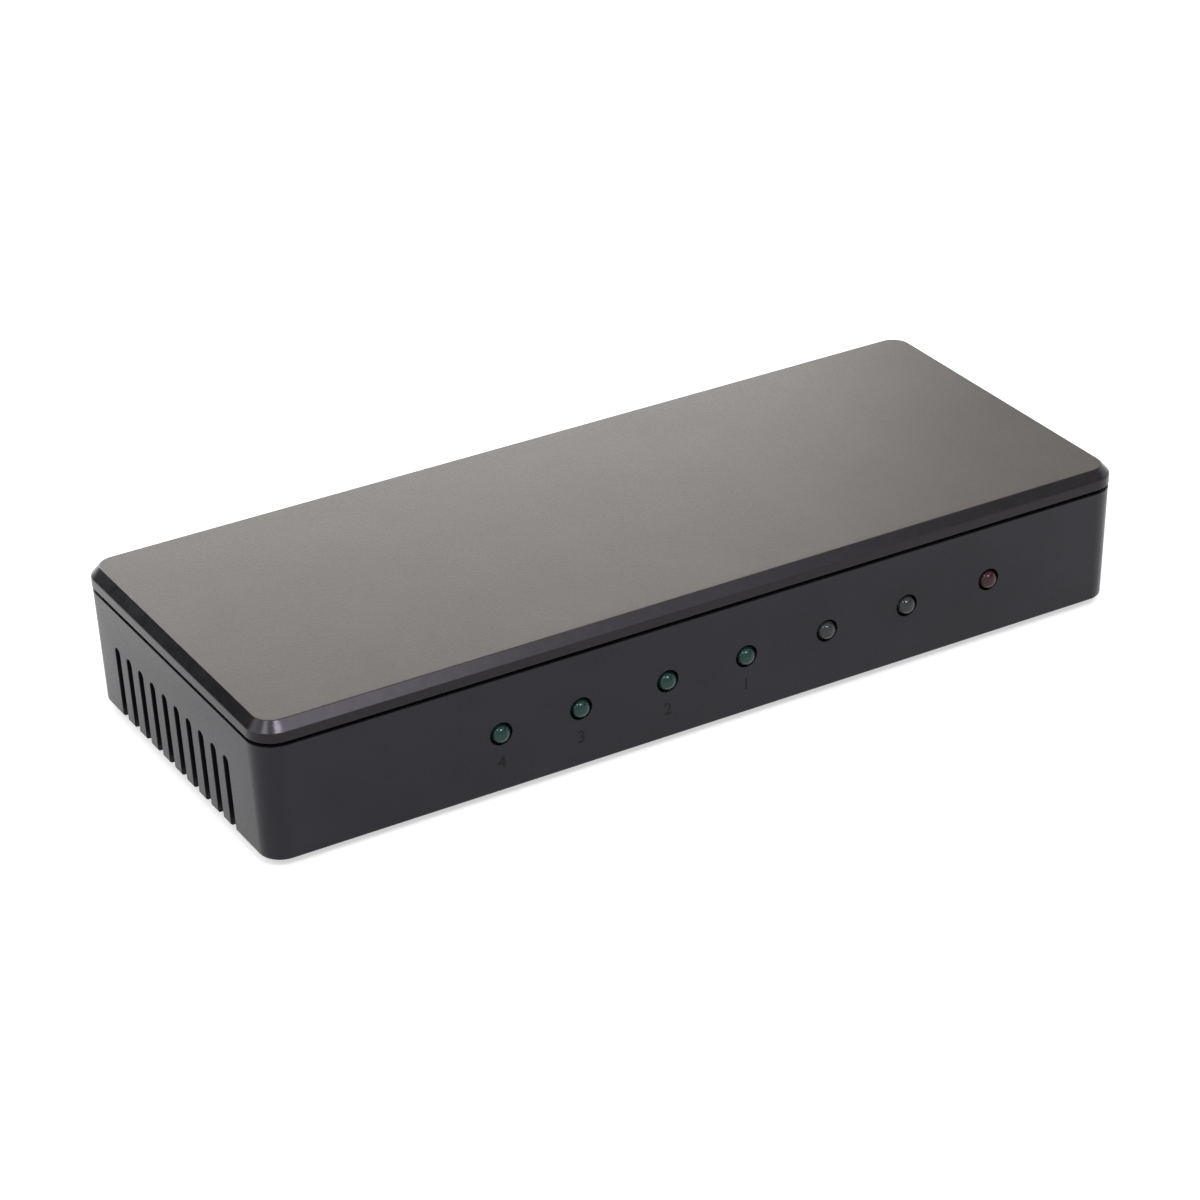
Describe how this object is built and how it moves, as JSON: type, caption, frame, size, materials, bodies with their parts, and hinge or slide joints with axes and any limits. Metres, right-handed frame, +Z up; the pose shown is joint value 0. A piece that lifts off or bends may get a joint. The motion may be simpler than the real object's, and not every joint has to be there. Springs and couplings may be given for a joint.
{
  "type": "video splitter",
  "caption": "Slim black video splitter box with a row of indicator lamps in front, vent slots in one end, and input, output and power sockets at the rear.",
  "frame": {"origin": "middle of the four feet's footprint, on the surface that they stand on", "axes": "+X along the length, to the right seen from the front; +Z up; -Y faces the front with the lamps, +Y the rear with the sockets"},
  "size_m": [0.147, 0.0604, 0.0236],
  "materials": {
    "lid_plastic": "fine spark texture on the flat top, polished bevel",
    "case_plastic": "satin moulded black",
    "lens_green": "clear tinted resin",
    "lens_clear": "water clear resin",
    "lens_red": "tinted resin",
    "tinned_wire": "bright tin",
    "holder_plastic": "moulded black",
    "board_laminate": "solder mask over glass fibre",
    "socket_steel": "nickel plated sheet",
    "socket_insulator": "moulded black nylon",
    "contact_gold": "gold flash",
    "jack_plastic": "moulded black",
    "chip_resin": "moulded resin",
    "pad_grey": "soft filled silicone",
    "sink_aluminium": "extruded and anodised",
    "can_metal": "drawn can",
    "ferrite": "sintered ferrite",
    "chip_ceramic": "fired ceramic",
    "screw_zinc": "zinc plated",
    "foot_rubber": "matt black rubber"
  },
  "bodies": {
    "root": {"board_screws": "screw_zinc", "bottom_case": "case_plastic", "capacitor_bases": "holder_plastic", "case_screws": "screw_zinc", "chip_capacitors": "chip_ceramic", "chip_resistors": "chip_resin", "circuit_board": "board_laminate", "crystal": "can_metal", "electrolytic_capacitors": "can_metal", "heat_sink": "sink_aluminium", "inductor_core": "ferrite", "inductor_frame": "ferrite", "lamp_holders": "holder_plastic", "lamp_input": "lens_clear", "lamp_legs": "tinned_wire", "lamp_link": "lens_clear", "lamp_output_1": "lens_green", "lamp_output_2": "lens_green", "lamp_output_3": "lens_green", "lamp_output_4": "lens_green", "lamp_power": "lens_red", "memory_chip_leads": "tinned_wire", "memory_chips": "chip_resin", "power_jack_housing": "jack_plastic", "power_jack_pin": "tinned_wire", "power_jack_spring": "tinned_wire", "protection_arrays": "chip_resin", "regulator": "chip_resin", "regulator_leads": "tinned_wire", "rubber_feet": "foot_rubber", "splitter_chip": "chip_resin", "splitter_chip_leads": "tinned_wire", "thermal_pad": "pad_grey", "top_cover": "lid_plastic", "video_in_contacts": "contact_gold", "video_in_insulator": "socket_insulator", "video_in_shell": "socket_steel", "video_out_1_contacts": "contact_gold", "video_out_1_insulator": "socket_insulator", "video_out_1_shell": "socket_steel", "video_out_2_contacts": "contact_gold", "video_out_2_insulator": "socket_insulator", "video_out_2_shell": "socket_steel", "video_out_3_contacts": "contact_gold", "video_out_3_insulator": "socket_insulator", "video_out_3_shell": "socket_steel", "video_out_4_contacts": "contact_gold", "video_out_4_insulator": "socket_insulator", "video_out_4_shell": "socket_steel"}
  },
  "joints": []
}
